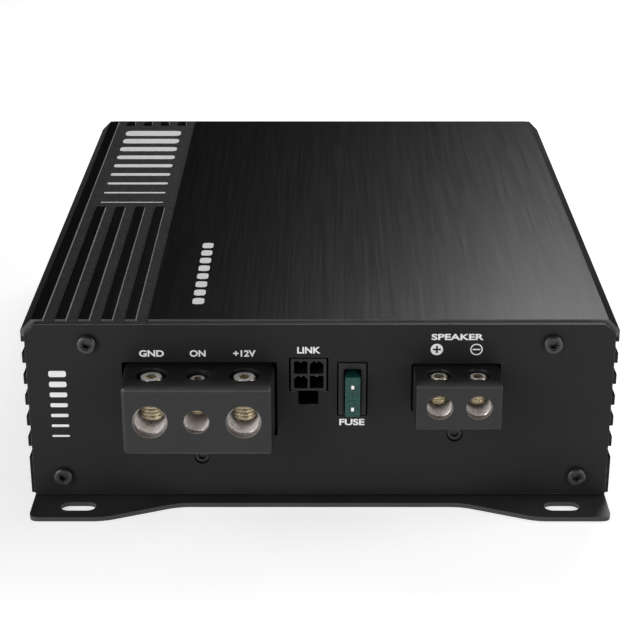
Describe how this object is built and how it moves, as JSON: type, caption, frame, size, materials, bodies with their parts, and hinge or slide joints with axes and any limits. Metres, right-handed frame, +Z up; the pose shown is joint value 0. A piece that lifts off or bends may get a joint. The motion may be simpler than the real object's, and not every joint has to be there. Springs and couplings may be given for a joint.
{
  "type": "car amplifier",
  "caption": "Car audio amplifier: ribbed aluminium cover on a slotted base plate, with screw terminals, a link socket and a pull-out fuse in front.",
  "frame": {"origin": "middle of the base plate's underside", "axes": "+Z up, -Y towards the terminal end, +X to the right when facing the terminals"},
  "size_m": [0.15, 0.205, 0.0505],
  "materials": {
    "anodised_aluminium": "black anodised, brushed along its length on top",
    "powder_coated_steel": "fine black powder coat",
    "black_plastic": "moulded, fine grain",
    "nickel_plate": "satin nickel plate",
    "black_screw_steel": "black oxide",
    "tinned_brass": "tinned",
    "copper_wire": "enamelled",
    "ferrite": "matt ground ceramic",
    "fuse_teal": "clear teal polycarbonate",
    "control_plastic": "moulded",
    "led_lens": "clear tinted epoxy",
    "circuit_board": "solder mask over glass laminate",
    "capacitor_sleeve": "shrink sleeve",
    "epoxy": "moulded epoxy",
    "spring_steel": "bright"
  },
  "bodies": {
    "housing": {"heatsink_cover": "anodised_aluminium", "base_plate": "powder_coated_steel", "front_panel": "powder_coated_steel", "rear_panel": "powder_coated_steel", "front_panel_screw_1": "black_screw_steel", "front_panel_screw_2": "black_screw_steel", "front_panel_screw_3": "black_screw_steel", "front_panel_screw_4": "black_screw_steel", "rear_panel_screw_1": "black_screw_steel", "rear_panel_screw_2": "black_screw_steel", "rear_panel_screw_3": "black_screw_steel", "rear_panel_screw_4": "black_screw_steel", "base_screw_1": "black_screw_steel", "base_screw_2": "black_screw_steel", "base_screw_3": "black_screw_steel", "base_screw_4": "black_screw_steel", "power_block_screw": "black_screw_steel", "speaker_block_screw": "black_screw_steel", "power_terminal_block": "black_plastic", "speaker_terminal_block": "black_plastic", "link_header": "black_plastic", "fuse_holder": "black_plastic", "rca_block": "black_plastic", "ground_barrel": "nickel_plate", "remote_barrel": "nickel_plate", "supply_barrel": "nickel_plate", "speaker_positive_barrel": "nickel_plate", "speaker_negative_barrel": "nickel_plate", "rca_sleeve_left": "nickel_plate", "rca_sleeve_right": "nickel_plate", "link_pin_1": "tinned_brass", "link_pin_2": "tinned_brass", "link_pin_3": "tinned_brass", "link_pin_4": "tinned_brass", "fuse_clip_1": "tinned_brass", "fuse_clip_2": "tinned_brass", "level_control_body": "control_plastic", "low_pass_control_body": "control_plastic", "status_led": "led_lens", "main_board": "circuit_board", "transformer_core": "ferrite", "inductor_core": "ferrite", "transformer_winding": "copper_wire", "inductor_winding": "copper_wire", "supply_capacitor_1": "capacitor_sleeve", "supply_capacitor_2": "capacitor_sleeve", "rail_capacitor": "capacitor_sleeve", "supply_transistor": "epoxy", "output_transistor": "epoxy", "supply_transistor_clip": "spring_steel", "output_transistor_clip": "spring_steel"},
    "ground_clamp_screw": {"ground_clamp_screw": "nickel_plate"},
    "remote_clamp_screw": {"remote_clamp_screw": "nickel_plate"},
    "supply_clamp_screw": {"supply_clamp_screw": "nickel_plate"},
    "speaker_positive_clamp_screw": {"speaker_positive_clamp_screw": "nickel_plate"},
    "speaker_negative_clamp_screw": {"speaker_negative_clamp_screw": "nickel_plate"},
    "fuse": {"fuse_body": "fuse_teal", "fuse_element": "tinned_brass"},
    "level_control": {"level_control_shaft": "black_plastic"},
    "low_pass_control": {"low_pass_control_shaft": "black_plastic"}
  },
  "joints": [
    {"name": "ground_clamp", "type": "slide", "parent": "housing", "child": "ground_clamp_screw", "axis": [0, 0, 1], "range_m": [-0.0007, 0.0055]},
    {"name": "remote_clamp", "type": "slide", "parent": "housing", "child": "remote_clamp_screw", "axis": [0, 0, 1], "range_m": [-0.0016, 0.0035]},
    {"name": "supply_clamp", "type": "slide", "parent": "housing", "child": "supply_clamp_screw", "axis": [0, 0, 1], "range_m": [-0.0007, 0.0055]},
    {"name": "speaker_positive_clamp", "type": "slide", "parent": "housing", "child": "speaker_positive_clamp_screw", "axis": [0, 0, 1], "range_m": [-0.0008, 0.004]},
    {"name": "speaker_negative_clamp", "type": "slide", "parent": "housing", "child": "speaker_negative_clamp_screw", "axis": [0, 0, 1], "range_m": [-0.0008, 0.004]},
    {"name": "fuse_pull", "type": "slide", "parent": "housing", "child": "fuse", "axis": [0, -1, 0], "range_m": [0, 0.0165]},
    {"name": "level_turn", "type": "hinge", "parent": "housing", "child": "level_control", "pos_m": [0.012, 0.0895, 0.0327], "axis": [0, 1, 0], "range_deg": [-140, 140]},
    {"name": "low_pass_turn", "type": "hinge", "parent": "housing", "child": "low_pass_control", "pos_m": [0.028, 0.0895, 0.0327], "axis": [0, 1, 0], "range_deg": [-140, 140]}
  ]
}
